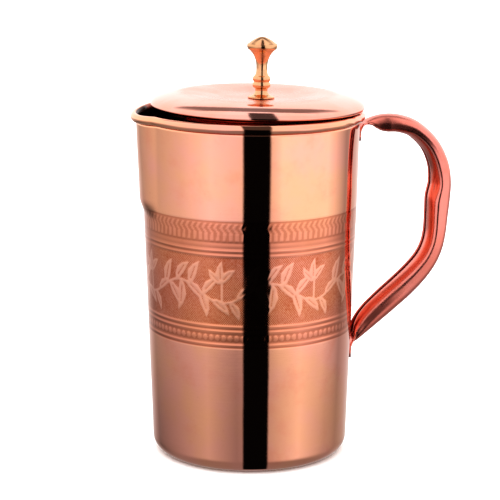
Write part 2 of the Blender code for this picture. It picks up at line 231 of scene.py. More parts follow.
def add_mesh(name, points, faces, attributes=(), sharp_deg=None):
    points = np.asarray(points, float)
    mesh = bpy.data.meshes.new(name)
    if signed_volume(points, faces) < 0:
        faces = [face[::-1] for face in faces]
    mesh.from_pydata(points.tolist(), [], faces)
    mesh.polygons.foreach_set("use_smooth", np.ones(len(mesh.polygons), bool))
    for key, values in attributes:
        layer = mesh.attributes.new(key, "FLOAT", "POINT")
        layer.data.foreach_set("value", np.asarray(values, np.float32))
    if sharp_deg is not None:
        mesh.set_sharp_from_angle(angle=math.radians(sharp_deg))
    mesh.update()
    obj = bpy.data.objects.new(name, mesh)
    bpy.context.scene.collection.objects.link(obj)
    return obj


def join_rows(rows, ring=False):
    """Faces between rows of point numbers; a row has 1 point, as many as its neighbour, half or twice."""
    faces = []
    pairs = list(zip(rows, rows[1:]))
    if ring:
        pairs.append((rows[-1], rows[0]))
    for low, high in pairs:
        n = len(low)
        m = len(high)
        if n == m:
            faces += [(low[i], low[(i + 1) % n], high[(i + 1) % n], high[i]) for i in range(n)]
        elif n == 1:
            faces += [(low[0], high[(i + 1) % m], high[i]) for i in range(m)]
        elif m == 1:
            faces += [(low[i], low[(i + 1) % n], high[0]) for i in range(n)]
        elif n == 2 * m:
            for k in range(m):
                a, b, c = low[2 * k], low[2 * k + 1], low[(2 * k + 2) % n]
                d, e = high[k], high[(k + 1) % m]
                faces += [(a, b, d), (b, e, d), (b, c, e)]
        else:
            for k in range(n):
                a, b = low[k], low[(k + 1) % n]
                d, e, f = high[2 * k], high[2 * k + 1], high[(2 * k + 2) % m]
                faces += [(a, e, d), (a, b, e), (b, f, e)]
    return faces


def revolved(name, profile, count, centre=(0.0, 0.0), ring=False, shape=None, sharp_deg=None):
    """A piece turned about a vertical axis; shape(r, z, angle) may move each ring of points."""
    points = []
    rows = []
    for r, z in profile:
        start = len(points)
        if r <= 0 and not ring:
            points.append((centre[0], centre[1], z))
            rows.append([start])
            continue
        angle = turns(count)
        far = np.full(count, float(r))
        high = np.full(count, float(z))
        if shape:
            far, high = shape(far, high, angle)
        ring_points = np.stack([centre[0] + far * np.cos(angle), centre[1] + far * np.sin(angle), high], 1)
        points += ring_points.tolist()
        rows.append(list(range(start, start + count)))
    return add_mesh(name, points, join_rows(rows, ring), sharp_deg=sharp_deg)


def arc(centre, half_w, half_h, start, end, steps):
    angle = np.radians(np.linspace(start, end, steps + 1))
    return list(zip(centre[0] + half_w * np.cos(angle), centre[1] + half_h * np.sin(angle)))


def spline(points, steps):
    """Catmull-Rom through the points, with this many steps from each point to the next."""
    points = np.asarray(points, float)
    last = len(points) - 1
    out = []
    for i in range(last):
        a, b, c, d = (points[max(0, min(last, i + k))] for k in (-1, 0, 1, 2))
        for k in range(steps):
            t = k / steps
            out.append(0.5 * (2 * b + (c - a) * t + (2 * a - 5 * b + 4 * c - d) * t**2
                              + (3 * b - a - 3 * c + d) * t**3))
    out.append(points[last])
    return np.array(out)


def cut(target, cutter):
    modifier = target.modifiers.new("cut", "BOOLEAN")
    modifier.operation = "DIFFERENCE"
    modifier.solver = "EXACT"
    modifier.object = cutter
    bpy.context.view_layer.update()
    graph = bpy.context.evaluated_depsgraph_get()
    made = bpy.data.meshes.new_from_object(target.evaluated_get(graph))
    target.modifiers.clear()
    target.data = made
    bpy.data.objects.remove(cutter, do_unlink=True)


# ---------------------------------------------------------------- jug body
def band_rows():
    """Heights in mm of the rows of the band, closer together at its lines."""
    rows = []
    for centre in LINE_CENTRES:
        rows += [centre + k * LINE_HALF for k in (-1.05, -0.6, 0.0, 0.6, 1.05)]
    rows += list(np.linspace(75.0, 79.2, 10))
    rows += list(np.linspace(FIELD_LOW + 0.3, FIELD_HIGH - 0.3, 54))
    rows += list(np.linspace(127.0, 140.6, 25))
    rows += [71.2, 71.6, 72.0, 74.5, 81.9, 82.2, 124.1, 141.2, 141.7]
    return sorted(rows)


def braid_field(degrees, z):
    """Height from 0 to 1 of the braided border."""
    turn = degrees * BRAID_COUNT / 360
    low = z - BRAID_LOW
    lean = 0.10 * (low / (BRAID_MIDDLE - BRAID_LOW) - 0.5)
    wave = 0.5 + 0.5 * np.cos(2 * math.pi * (turn - lean))
    span = smooth(BRAID_LOW, BRAID_LOW + 1.0, z) * (1 - smooth(BRAID_MIDDLE - 0.6, BRAID_MIDDLE + 0.5, z))
    lower = smooth(0.25, 0.75, wave) * span
    slant = 0.55 * (z - BRAID_MIDDLE) / (BRAID_JOIN - BRAID_MIDDLE)
    wave = 0.5 + 0.5 * np.cos(2 * math.pi * (turn + slant))
    span = smooth(BRAID_MIDDLE - 0.7, BRAID_MIDDLE + 0.3, z)
    span = span * (1 - smooth(BRAID_JOIN - 0.5, BRAID_JOIN + 0.6, z))
    middle = 0.8 * smooth(0.35, 0.85, wave) * span
    slant = 0.45 * (z - BRAID_HIGH) / (BRAID_HIGH - BRAID_JOIN)
    wave = 0.5 + 0.5 * np.cos(2 * math.pi * (turn + 0.1 - slant))
    span = smooth(BRAID_JOIN - 0.6, BRAID_JOIN + 0.3, z) * (1 - smooth(BRAID_HIGH - 0.5, BRAID_HIGH + 0.4, z))
    upper = smooth(0.3, 0.8, wave) * span
    return np.maximum(np.maximum(lower, middle), upper)


def bead_field(degrees, z):
    turn = degrees * BEAD_COUNT / 360
    across = (turn - np.round(turn)) * 2 * math.pi * BEAD_WALL_R / BEAD_COUNT
    reach = 1 - (across / BEAD_HALF_W) ** 2 - ((z - BEAD_Z) / BEAD_HALF_H) ** 2
    return np.sqrt(np.maximum(reach, 0))


def band_shape(degrees, z):
    """(height in mm off the wall, distance in mm inside the edge of the vine, tarnish 0 to 1)."""
    height = np.zeros(z.shape)
    tarnish = np.zeros(z.shape)
    field = smooth(FIELD_LOW - 0.3, FIELD_LOW + 0.2, z) * (1 - smooth(FIELD_HIGH - 0.2, FIELD_HIGH + 0.3, z))
    edge = np.where(field > 0, motif_distance(degrees, z), NO_MOTIF)
    leaf = smooth(-0.35, 0.45, edge) * (0.72 + 0.28 * smooth(0.3, 1.4, edge))
    height += field * (MOTIF_RISE * leaf - FIELD_SINK)
    tarnish += field * (1 - smooth(-0.5, 0.3, edge)) * 0.75
    tarnish += field * 0.5 * np.exp(-((edge + 0.4) / 0.45) ** 2)
    for centre in LINE_CENTRES:
        line = 1 - smooth(0.35, 1.0, np.abs(z - centre) / LINE_HALF)
        height += LINE_RISE * line
    for centre, half in GROOVES:
        groove = np.exp(-(((z - centre) / half) ** 2))
        height -= GROOVE_DEPTH * groove
        tarnish = np.maximum(tarnish, groove)
    channel = smooth(74.8, 75.4, z) * (1 - smooth(78.8, 79.4, z))
    bead = bead_field(degrees, z)
    height += channel * (BEAD_RISE * bead - BEAD_CHANNEL_SINK)
    tarnish = np.maximum(tarnish, channel * (1 - smooth(0.05, 0.5, bead)))
    border = smooth(BRAID_LOW - 0.4, BRAID_LOW, z) * (1 - smooth(BRAID_HIGH, BRAID_HIGH + 0.4, z))
    braid = braid_field(degrees, z)
    height += border * (BRAID_RISE * braid - BRAID_SINK)
    tarnish = np.maximum(tarnish, border * (1 - smooth(0.1, 0.6, braid)) * 0.8)
    dots = smooth(126.7, 127.1, z) * (1 - smooth(128.9, 129.3, z))
    tarnish = np.maximum(tarnish, 0.45 * dots)
    return height, edge, tarnish


# Rim: the soldered patch by the handle, a faint ripple of the roll, and painted shade on the inner side of
# the roll, near black at the lip of the spout
PATCH_START_DEG = (306, 316)
PATCH_END_DEG = (352, 357)
PATCH_RISE = 0.00011
RIPPLE_RISE = 0.00003
LIP_SHADE_DEG = (100, 125)
LIP_SHADE_END_DEG = 185
LIP_SIDES = (0.52, 0.30)
DENTS_FULL_Z = 0.02


def gentle_dents(angle, z):
    """Slight unevenness of the hand-planished wall, in metres."""
    a = np.asarray(angle)
    out = 0.000014 * np.sin(3 * a + 31 * z + 0.4) * np.sin(74 * z + 1.1)
    out = out + 0.000007 * np.sin(7 * a - 118 * z) + 0.000003 * np.sin(13 * a + 205 * z + 2.0)
    return out


def rim_marks(angle, round_deg):
    """Uneven soldered patch on the roll just short of the handle, in metres."""
    degrees = np.degrees(angle) % 360
    patch = smooth(*PATCH_START_DEG, degrees) * (1 - smooth(*PATCH_END_DEG, degrees))
    lean = degrees * 0.62 + round_deg * 0.085
    lumps = np.sin(lean) + 0.55 * np.sin(1.73 * lean + 1.2) + 0.35 * np.sin(2.9 * lean + 0.05 * degrees)
    return patch * PATCH_RISE * lumps


def build_body():
    corner_x = float(wall_radius(CORNER_R)) - CORNER_R
    inner = CORNER_R - WALL_T
    outside = [(r, 0.0) for r in (0.012, 0.024, 0.034, 0.040)]
    outside += arc((corner_x, CORNER_R), CORNER_R, CORNER_R, -90, 0, 12)
    outside += [(float(wall_radius(z)), z) for z in np.linspace(0.012, 0.0705, 15)]
    band = [z * MM for z in band_rows()]
    above = [float(z) for z in np.linspace(0.1425, 0.1848, 18)]
    rim = []
    centre = (RIM_R, RIM_Z)
    roll_in = arc(centre, RIM_HALF_W - WALL_T, RIM_HALF_H - WALL_T, 180, RIM_END_DEG, 9)
    roll_out = arc(centre, RIM_HALF_W, RIM_HALF_H, RIM_END_DEG, 180, 22)
    rim += [(float(wall_radius(z)) - inward, z, None) for z, inward in RIM_NECK]
    rim += [(r, z, None) for r, z in roll_in]
    for r, z in roll_out:
        around = math.atan2((z - RIM_Z) / RIM_HALF_H, (r - RIM_R) / RIM_HALF_W)
        rim.append((r, z, math.degrees(around)))
    inside = [(float(wall_radius(z)) - inward - WALL_T, z) for z, inward in reversed(RIM_NECK)]
    inside += [(float(wall_radius(z)) - WALL_T, z) for z in np.linspace(0.179, 0.016, 18)]
    inside += arc((corner_x, BASE_T + inner), inner, inner, 0, -90, 8)
    inside += [(0.038, BASE_T), (0.025, BASE_T), (0.012, BASE_T)]

    points = []
    rows = []
    # zone: 0 on the outer wall, 0.5 on the rim; from 0.6 up it paints shade, 1 inside the jug and on the
    # roll's inner side, up to 2 at the spout's lip
    fields = {"edge": [], "tarnish": [], "zone_and_shade": []}

    def put(radius, height, angle, edge=None, tarnish=None, zone_and_shade=0.0):
        start = len(points)
        height = height + rim_shift(angle, height)
        points.extend(np.stack([radius * np.cos(angle), radius * np.sin(angle), height], 1).tolist())
        rows.append(list(range(start, start + len(angle))))
        blank = np.zeros(len(angle))
        fields["edge"].append(blank + NO_MOTIF if edge is None else edge)
        fields["tarnish"].append(blank if tarnish is None else tarnish)
        fields["zone_and_shade"].append(blank + zone_and_shade)

    def put_centre(z, zone_and_shade):
        rows.append([len(points)])
        points.append((0.0, 0.0, z))
        for key, value in (("edge", NO_MOTIF), ("tarnish", 0), ("zone_and_shade", zone_and_shade)):
            fields[key].append(np.array([value]))

    put_centre(0.0, 0.0)
    wall = turns(WALL_COLUMNS)
    for r, z in outside:
        high = np.full(WALL_COLUMNS, z)
        out = gentle_dents(wall, high) * min(1.0, z / DENTS_FULL_Z)
        put(r + out, high, wall)
    fine = turns(BAND_COLUMNS)
    degrees = np.degrees(fine) - FACING_DEG
    for z in band:
        high = np.full(BAND_COLUMNS, z)
        height, edge, tarnish = band_shape(degrees, high * 1000)
        radius = wall_radius(high) + spout_rise(fine, high) + height * MM + gentle_dents(fine, high)
        put(radius, high, fine, edge, tarnish)
    for z in above:
        high = np.full(WALL_COLUMNS, z)
        put(wall_radius(high) + spout_rise(wall, high) + gentle_dents(wall, high), high, wall)
    for r, z, round_deg in rim:
        high = np.full(WALL_COLUMNS, z)
        far = r + spout_rise(wall, high)
        if round_deg is not None:
            lump = rim_marks(wall, round_deg) + RIPPLE_RISE * (np.sin(17 * wall + round_deg * 0.05) - 2)
            far = far + lump * math.cos(math.radians(round_deg))
            high = high + lump * math.sin(math.radians(round_deg))
        # Painted shade: the inner side of the roll gets the dark inside colour, going near black at the lip
        # of the spout
        dark = 0.0
        if round_deg is not None and round_deg % 360 <= LIP_SHADE_END_DEG:
            dark = float(smooth(*LIP_SHADE_DEG, round_deg % 360))
        lip = smooth(*LIP_SIDES, np.abs(np.mod(wall, 2 * math.pi) - math.pi))
        put(far, high, wall, zone_and_shade=0.5 + 0.5 * dark + dark * lip)
    # The inside wall takes the dark inside colour: painted shade
    within = turns(INSIDE_COLUMNS)
    for r, z in inside:
        high = np.full(INSIDE_COLUMNS, z)
        dents = gentle_dents(within, high) * min(1.0, z / DENTS_FULL_Z)
        put(r + spout_rise(within, high) + dents, high, within, zone_and_shade=1.0)
    put_centre(BASE_T, 1.0)
    attributes = [(key, np.concatenate(values)) for key, values in fields.items()]
    return add_mesh("jug_skin", points, join_rows(rows), attributes)


# ---------------------------------------------------------------- lid and knob
LID_X = 0.0040
LID_Z = 0.1943
LID_T = 0.0008
LID_BEAD_R = 0.00175
LID_R = 0.0592
LID_LEAN = math.radians(0.97)
LID_HOLE_R = 0.0023
LID_FLAT_R = 0.0140
LID_CREST_R = 0.0400
LID_CREST_H = 0.0085
LID_FALL = 1.5
LID_SKIRT_R = 0.0560
LID_CENTRE_TOP = 0.0053
LID_ROLL_START_DEG = -8
LID_ROLL_END_DEG = -200
LID_HOLE_REACH = 0.004
LID_WAVE = 0.00004
LID_WAVE_IN = (0.010, 0.045)
LID_WAVE_OUT = (0.054, 0.058)
KNOB_X = 0.0059
COLLAR_R = 0.0530
COLLAR_T = 0.0008
COLLAR_FLANGE_R = 0.0490
COLLAR_BOTTOM_Z = 0.1870
COLLAR_TOP = 0.0048
GAP = 0.0003


def lid_face(inner_steps, outer_steps):
    """Radius and height above LID_Z of the outer face: sunken middle, crest, rounded fall to the edge."""
    face = [(0.0, LID_CENTRE_TOP)]
    for r in np.linspace(LID_FLAT_R, LID_CREST_R, inner_steps):
        up = float(smooth(LID_FLAT_R, LID_CREST_R, r))
        face.append((float(r), LID_CENTRE_TOP + (LID_CREST_H - LID_CENTRE_TOP) * up))
    for turn in np.linspace(0, math.pi / 2, outer_steps + 1)[1:]:
        out = min(1.0, math.sin(turn))
        fall = math.sqrt(max(0.0, 1 - out**LID_FALL))
        r = LID_CREST_R + (LID_R - LID_CREST_R) * out
        face.append((r, LID_BEAD_R + (LID_CREST_H - LID_BEAD_R) * fall))
    return face


def build_lid():
    face = lid_face(24, 44)
    outer = [(r, z + LID_Z) for r, z in face]
    centre = (LID_R - LID_BEAD_R, LID_Z + LID_BEAD_R)
    inner_r = LID_BEAD_R - LID_T
    roll = arc(centre, LID_BEAD_R, LID_BEAD_R, LID_ROLL_START_DEG, LID_ROLL_END_DEG, 26)
    back = arc(centre, inner_r, inner_r, LID_ROLL_END_DEG, LID_ROLL_START_DEG, 14)
    inner = []
    for r, z in reversed(face):
        skirt = float(smooth(LID_SKIRT_R, LID_R, r))
        inner.append((r - LID_T * skirt, z + LID_Z - LID_T * (1 - skirt)))

    def pressed(r, z, angle):
        wave = LID_WAVE * np.sin(2 * angle + 0.7)
        return r, z + wave * smooth(*LID_WAVE_IN, r) * (1 - smooth(*LID_WAVE_OUT, r))

    lid = revolved("lid_skin", outer + roll + back + inner, 216, (LID_X, 0.0), shape=pressed)
    middle = LID_Z + LID_CENTRE_TOP
    low = middle - LID_HOLE_REACH
    high = middle + LID_HOLE_REACH
    reach = [(0.0, low), (LID_HOLE_R, low), (LID_HOLE_R, high), (0.0, high)]
    cut(lid, revolved("hole_cutter", reach, 48, (KNOB_X, 0.0)))
    lid.data.set_sharp_from_angle(angle=math.radians(60))
    return lid


def build_collar():
    top = LID_Z + COLLAR_TOP
    low = COLLAR_BOTTOM_Z
    fine = 0.0002
    within = COLLAR_R - COLLAR_T
    under = top - COLLAR_T
    flange = COLLAR_FLANGE_R
    ring = [
        (COLLAR_R, top - fine), (COLLAR_R, low + fine), (COLLAR_R - fine, low), (within + fine, low),
        (within, low + fine), (within, under - fine), (within - fine, under), (flange + fine, under),
        (flange, under + fine), (flange, top - fine), (flange + fine, top), (COLLAR_R - fine, top),
    ]
    return revolved("collar_ring", ring, 180, (LID_X, 0.0), ring=True, sharp_deg=40)


# Knob: radius and height above its own foot
KNOB_PROFILE = (
    (0.0073, 0.0000), (0.0073, 0.0006), (0.0054, 0.0012), (0.0040, 0.0022), (0.0034, 0.0038),
    (0.0036, 0.0051), (0.0046, 0.0058), (0.0050, 0.0070), (0.0048, 0.0080), (0.0043, 0.0088),
    (0.0048, 0.0096), (0.0050, 0.0106), (0.0046, 0.0117), (0.0037, 0.0126), (0.0032, 0.0144),
    (0.0031, 0.0170), (0.0034, 0.0198), (0.0041, 0.0221), (0.0051, 0.0240), (0.0066, 0.0258),
    (0.0080, 0.0270), (0.00845, 0.0283), (0.0083, 0.0295), (0.0074, 0.0302), (0.0050, 0.0319),
    (0.0022, 0.0333), (0.0, 0.0338),
)
KNOB_BORE_R = 0.0023
KNOB_BORE_DEPTH = 0.0120
KNOB_BORE_TIP = 0.0004
WASHER_R = 0.0065
WASHER_T = 0.0010
SCREW_R = 0.0020
SCREW_HEAD_R = 0.0040
SCREW_HEAD_H = 0.0024
SCREW_SLOT_W = 0.0010
SCREW_SLOT_D = 0.0010
SCREW_REACH = 0.0105
THREAD_PITCH = 0.0008
THREAD_DEPTH = 0.00022
THREAD_STEPS = 60
SCREW_POINT = 0.0006


def build_knob():
    foot = LID_Z + LID_CENTRE_TOP + GAP
    curve = [(max(0.0, r), foot + z) for r, z in spline(KNOB_PROFILE, 4)]
    curve[-1] = (0.0, curve[-1][1])
    end = foot + KNOB_BORE_DEPTH
    bore = [(0.0, end), (KNOB_BORE_R, end - KNOB_BORE_TIP), (KNOB_BORE_R, foot)]
    return revolved("knob_turned", bore + curve, 120, (KNOB_X, 0.0), sharp_deg=50)


def build_washer():
    top = LID_Z + LID_CENTRE_TOP - LID_T - GAP
    low = top - WASHER_T
    fine = 0.00015
    ring = [
        (KNOB_BORE_R, top - fine), (KNOB_BORE_R + fine, top), (WASHER_R - fine, top), (WASHER_R, top - fine),
        (WASHER_R, low + fine), (WASHER_R - fine, low), (KNOB_BORE_R + fine, low), (KNOB_BORE_R, low + fine),
    ]
    return revolved("washer_ring", ring, 96, (KNOB_X, 0.0), ring=True, sharp_deg=50)


def build_screw():
    head_top = LID_Z + LID_CENTRE_TOP - LID_T - GAP - WASHER_T - GAP
    low = head_top - SCREW_HEAD_H
    tip = LID_Z + LID_CENTRE_TOP + GAP + SCREW_REACH
    profile = [(0.0, low), (0.0015, low + 0.00005), (0.0028, low + 0.0003), (0.0035, low + 0.0008),
               (0.0039, low + 0.0014), (SCREW_HEAD_R, low + 0.0019), (SCREW_HEAD_R, head_top - 0.0001),
               (SCREW_HEAD_R - 0.0001, head_top)]
    thread_end = tip - SCREW_POINT
    profile += [(SCREW_R, z) for z in np.linspace(head_top, thread_end, THREAD_STEPS)]
    profile += [(SCREW_R - SCREW_POINT, tip), (0.0, tip)]

    def threaded(r, z, angle):
        if z[0] <= head_top + 1e-6 or z[0] >= thread_end:
            return r, z
        turn = (z - head_top) / THREAD_PITCH - angle / (2 * math.pi)
        ridge = np.abs(2 * (turn - np.floor(turn)) - 1)
        return r - THREAD_DEPTH * (1 - ridge), z

    screw = revolved("screw_slotted", profile, 64, (KNOB_X, 0.0), shape=threaded, sharp_deg=45)
    half = SCREW_SLOT_W / 2
    corners = [(KNOB_X + x, y, z) for z in (low - 0.001, low + SCREW_SLOT_D)
               for x, y in ((-0.005, -half), (0.005, -half), (0.005, half), (-0.005, half))]
    sides = [(i, (i + 1) % 4, (i + 1) % 4 + 4, i + 4) for i in range(4)]
    cut(screw, add_mesh("slot_cutter", corners, [(3, 2, 1, 0), (4, 5, 6, 7), *sides]))
    screw.data.set_sharp_from_angle(angle=math.radians(40))
    return screw


# ---------------------------------------------------------------- handle
STRIP_T = 0.0012
UPPER_TAB_Z = (0.1752, 0.1778, 0.1802)
LOWER_TAB_Z = (0.0568, 0.0538, 0.0508)
# x, z, depth of the fold, half width, how far the fold is closed
HANDLE_LINE = (
    (0.0629, 0.1835, 0.0020, 0.0080, 0.00),
    (0.0660, 0.1853, 0.0048, 0.0080, 0.30),
    (0.0712, 0.1873, 0.0084, 0.0084, 0.80),
    (0.0780, 0.1884, 0.0090, 0.0090, 1.00),
    (0.0860, 0.1877, 0.0088, 0.0096, 1.00),
    (0.0948, 0.1845, 0.0086, 0.0098, 1.00),
    (0.1030, 0.1782, 0.0088, 0.0098, 1.00),
    (0.1092, 0.1705, 0.0093, 0.0098, 1.00),
    (0.1137, 0.1605, 0.0102, 0.0098, 1.00),
    (0.1154, 0.1500, 0.0112, 0.0100, 1.00),
    (0.1151, 0.1400, 0.0126, 0.0100, 1.00),
    (0.1141, 0.1310, 0.0118, 0.0100, 1.00),
    (0.1129, 0.1200, 0.0110, 0.0100, 1.00),
    (0.1109, 0.1107, 0.0110, 0.0100, 1.00),
    (0.1070, 0.1020, 0.0114, 0.0100, 1.00),
    (0.1008, 0.0934, 0.0122, 0.0100, 1.00),
    (0.0926, 0.0850, 0.0127, 0.0098, 1.00),
    (0.0840, 0.0777, 0.0126, 0.0096, 1.00),
    (0.0752, 0.0705, 0.0119, 0.0092, 1.00),
    (0.0680, 0.0648, 0.0104, 0.0088, 0.92),
    (0.0625, 0.0605, 0.0084, 0.0084, 0.60),
    (0.0592, 0.0587, 0.0040, 0.0080, 0.20),
)
LINE_STEPS = 10
FOLD_HALF_TURN = math.radians(168)
FOLD_SAMPLES = 56
FLANK_GROOVE = 0.0011
FLANK_GROOVE_DEG = 26
DENT_DEPTH = 0.0022
DENT_AT = 0.445
DENT_REACH = 0.03
DENT_DEG = 130
DENT_REACH_DEG = 18
GROOVE_AT_DEG = 92
GROOVE_DRIFT_DEG = 12
TAB_DEPTH = 0.002
TAB_HALF_W = 0.008


def handle_stations():
    on_wall = GAP + STRIP_T / 2
    upper = [(float(wall_radius(z)) + on_wall, z, TAB_DEPTH, TAB_HALF_W, 0.0) for z in UPPER_TAB_Z]
    lower = [(float(wall_radius(z)) + on_wall, z, TAB_DEPTH, TAB_HALF_W, 0.0) for z in LOWER_TAB_Z]
    line = spline([upper[-1], *HANDLE_LINE, lower[0]], LINE_STEPS)
    return [*upper[:-1], *map(tuple, line), *lower[1:]]


def fold_point(u, along, depth, half_width, closed, hug):
    """Middle of the strip at u (-1 to 1): across it and along its outward normal."""
    turn = u * FOLD_HALF_TURN
    degrees = np.degrees(turn)
    drift = GROOVE_DRIFT_DEG * np.sin(2.4 * math.pi * along + 0.6)
    groove = FLANK_GROOVE * np.exp(-(((np.abs(degrees) - GROOVE_AT_DEG - drift) / FLANK_GROOVE_DEG) ** 2))
    dent = DENT_DEPTH * math.exp(-(((along - DENT_AT) / DENT_REACH) ** 2))
    dent = dent * np.exp(-(((np.abs(degrees) - DENT_DEG) / DENT_REACH_DEG) ** 2))
    across = (half_width - groove - dent) * np.sin(turn)
    inward = -0.5 * depth * (1 - np.cos(turn))
    flat_across = u * half_width
    flat_out = hug * flat_across**2
    return closed * across + (1 - closed) * flat_across, closed * inward + (1 - closed) * flat_out


def build_handle():
    stations = handle_stations()
    last = len(stations) - 1
    points = []
    rows = []
    u = np.linspace(-1, 1, FOLD_SAMPLES + 1)
    for i, (x, z, depth, half_width, closed) in enumerate(stations):
        before = stations[max(0, i - 1)]
        after = stations[min(last, i + 1)]
        along = Vector((after[0] - before[0], after[1] - before[1])).normalized()
        normal = Vector((-along.y, along.x))
        hug = (0.5 if i < last / 2 else -0.5) / float(wall_radius(z))
        closed = min(1.0, max(0.0, closed))
        across, out = fold_point(u, i / last, depth, half_width, closed, hug)
        step_a = np.gradient(across)
        step_o = np.gradient(out)
        size = np.hypot(step_a, step_o)
        step_a /= size
        step_o /= size
        half = STRIP_T / 2
        outer = np.stack([across - step_o * half, out + step_a * half], 1)
        inner = np.stack([across + step_o * half, out - step_a * half], 1)[::-1]
        ring = np.concatenate([outer, inner])
        start = len(points)
        for b, n in ring:
            points.append((x + normal.x * n, b, z + normal.y * n))
        rows.append(list(range(start, start + len(ring))))
    count = len(rows[0])
    faces = join_rows(rows)
    half_count = count // 2
    for end, flip in ((rows[0], False), (rows[-1], True)):
        for i in range(half_count - 1):
            face = (end[i], end[count - 1 - i], end[count - 2 - i], end[i + 1])
            faces.append(face[::-1] if flip else face)
    return add_mesh("handle_strip", points, faces)


# ---------------------------------------------------------------- rivets
RIVET_R = 0.0016
RIVET_HEAD_R = 0.0028
RIVET_INNER_H = 0.0010
RIVET_OUTER_H = 0.0008
RIVET_EDGE_R = 0.0004
RIVET_ZS = (0.1783, 0.0540)


def build_rivet(name, z):
    outer = float(wall_radius(z))
    sag = RIVET_HEAD_R**2 / (2 * outer) + WALL_TAPER * RIVET_HEAD_R
    inside = -WALL_T - sag - GAP
    outside = GAP + STRIP_T + sag + GAP
    low = inside - RIVET_INNER_H
    flat_r = RIVET_HEAD_R - RIVET_EDGE_R
    head = [(0.0, low), (RIVET_HEAD_R * 0.6, inside - RIVET_INNER_H * 0.96)]
    for t in np.linspace(0.2, math.pi / 2, 5):
        head.append((flat_r + RIVET_EDGE_R * math.sin(t), low + RIVET_EDGE_R * (1 - math.cos(t))))
    head += [(RIVET_HEAD_R, inside), (RIVET_R, inside), (RIVET_R, outside)]
    dome = [(RIVET_HEAD_R * math.cos(t), outside + RIVET_OUTER_H * math.sin(t))
            for t in np.linspace(0, 1.5, 9)]
    rivet = revolved(name, head + dome + [(0.0, outside + RIVET_OUTER_H)], 64, sharp_deg=50)
    turn = Vector((1, 0, 0)).to_track_quat("Z", "Y").to_matrix().to_4x4()
    rivet.data.transform(Matrix.Translation((outer, 0, z)) @ turn)
    return rivet


# ---------------------------------------------------------------- shader helpers
class Nodes:
    """Short calls for building one node tree."""

    def __init__(self, tree):
        self.tree = tree

    def new(self, kind, **settings):
        node = self.tree.nodes.new("ShaderNode" + kind)
        for key, value in settings.items():
            setattr(node, key, value)
        return node

    def set(self, socket, value):
        if isinstance(value, bpy.types.NodeSocket):
            self.tree.links.new(value, socket)
        elif value is not None:
            if isinstance(value, tuple) and len(value) == 3 and len(socket.default_value) == 4:
                value = (*value, 1)
            socket.default_value = value

    def math(self, operation, a, b=None, c=None, clamp=False):
        node = self.new("Math", operation=operation, use_clamp=clamp)
        for socket, value in zip(node.inputs, (a, b, c)):
            self.set(socket, value)
        return node.outputs[0]

    def dot(self, a, b):
        node = self.new("VectorMath", operation="DOT_PRODUCT")
        self.set(node.inputs[0], a)
        self.set(node.inputs[1], b)
        return node.outputs["Value"]

    def attribute(self, name):
        return self.new("Attribute", attribute_name=name).outputs["Fac"]

    def mix(self, factor, a, b):
        node = self.new("Mix", data_type="RGBA")
        self.set(node.inputs[0], factor)
        self.set(node.inputs[6], a)
        self.set(node.inputs[7], b)
        return node.outputs[2]

    def between(self, factor, a, b):
        node = self.new("Mix", data_type="FLOAT")
        for index, value in ((0, factor), (2, a), (3, b)):
            self.set(node.inputs[index], value)
        return node.outputs[0]

    def step(self, value, low, high):
        """0 below low and 1 above high, with a smooth rise between."""
        node = self.new("MapRange", interpolation_type="SMOOTHSTEP")
        for index, given in enumerate((value, low, high, 0.0, 1.0)):
            self.set(node.inputs[index], given)
        return node.outputs[0]

    def ramp(self, value, stops):
        node = self.new("ValToRGB")
        elements = node.color_ramp.elements
        while len(elements) < len(stops):
            elements.new(0.5)
        for element, (place, colour) in zip(elements, stops):
            element.position = place
            element.color = (*colour, 1)
        self.set(node.inputs[0], value)
        return node.outputs[0]

    def noise(self, vector, scale, detail, rough):
        node = self.new("TexNoise")
        self.set(node.inputs["Vector"], vector)
        node.inputs["Scale"].default_value = scale
        node.inputs["Detail"].default_value = detail
        node.inputs["Roughness"].default_value = rough
        return node.outputs["Fac"]

    def stretched(self, vector, scale):
        node = self.new("Mapping")
        self.set(node.inputs["Vector"], vector)
        node.inputs["Scale"].default_value = scale
        return node.outputs[0]

    def bump(self, height, distance, normal=None):
        node = self.new("Bump")
        node.inputs["Strength"].default_value = 1.0
        node.inputs["Distance"].default_value = distance
        self.set(node.inputs["Height"], height)
        if normal is not None:
            self.set(node.inputs["Normal"], normal)
        return node.outputs[0]


def metal(name):
    """A new metal material: (material, node helper, its Principled shader, object coordinates)."""
    made = bpy.data.materials.new(name)
    made.use_nodes = True
    nodes = Nodes(made.node_tree)
    shader = made.node_tree.nodes["Principled BSDF"]
    shader.inputs["Metallic"].default_value = 1.0
    place = nodes.new("TexCoord").outputs["Object"]
    return made, nodes, shader, place


def cylinder_place(nodes, place, centre_x=0.0):
    """Round the vertical axis: (arc length at the band, height, 0), then angle, height and radius."""
    split = nodes.new("SeparateXYZ")
    nodes.set(split.inputs[0], place)
    x = nodes.math("SUBTRACT", split.outputs[0], centre_x)
    angle = nodes.math("ARCTAN2", split.outputs[1], x)
    radius = nodes.math("SQRT", nodes.math("ADD", nodes.math("MULTIPLY", x, x),
                                           nodes.math("MULTIPLY", split.outputs[1], split.outputs[1])))
    joined = nodes.new("CombineXYZ")
    nodes.set(joined.inputs[0], nodes.math("MULTIPLY", angle, BAND_R * MM))
    nodes.set(joined.inputs[1], split.outputs[2])
    return joined.outputs[0], angle, split.outputs[2], radius


POLISHED = (0.96, 0.47, 0.37)
REDDER = (0.90, 0.34, 0.23)
GOLDEN = (0.96, 0.49, 0.31)
OXIDE = (0.42, 0.14, 0.075)
ETCHED = (0.74, 0.25, 0.15)
ETCHED_DEEP = (0.52, 0.13, 0.05)
LEAF_TONE = (0.93, 0.45, 0.33)
# Painted shade inside the jug and on the inner side of the rim roll
INSIDE_SHADE_TONE = (0.36, 0.07, 0.035)
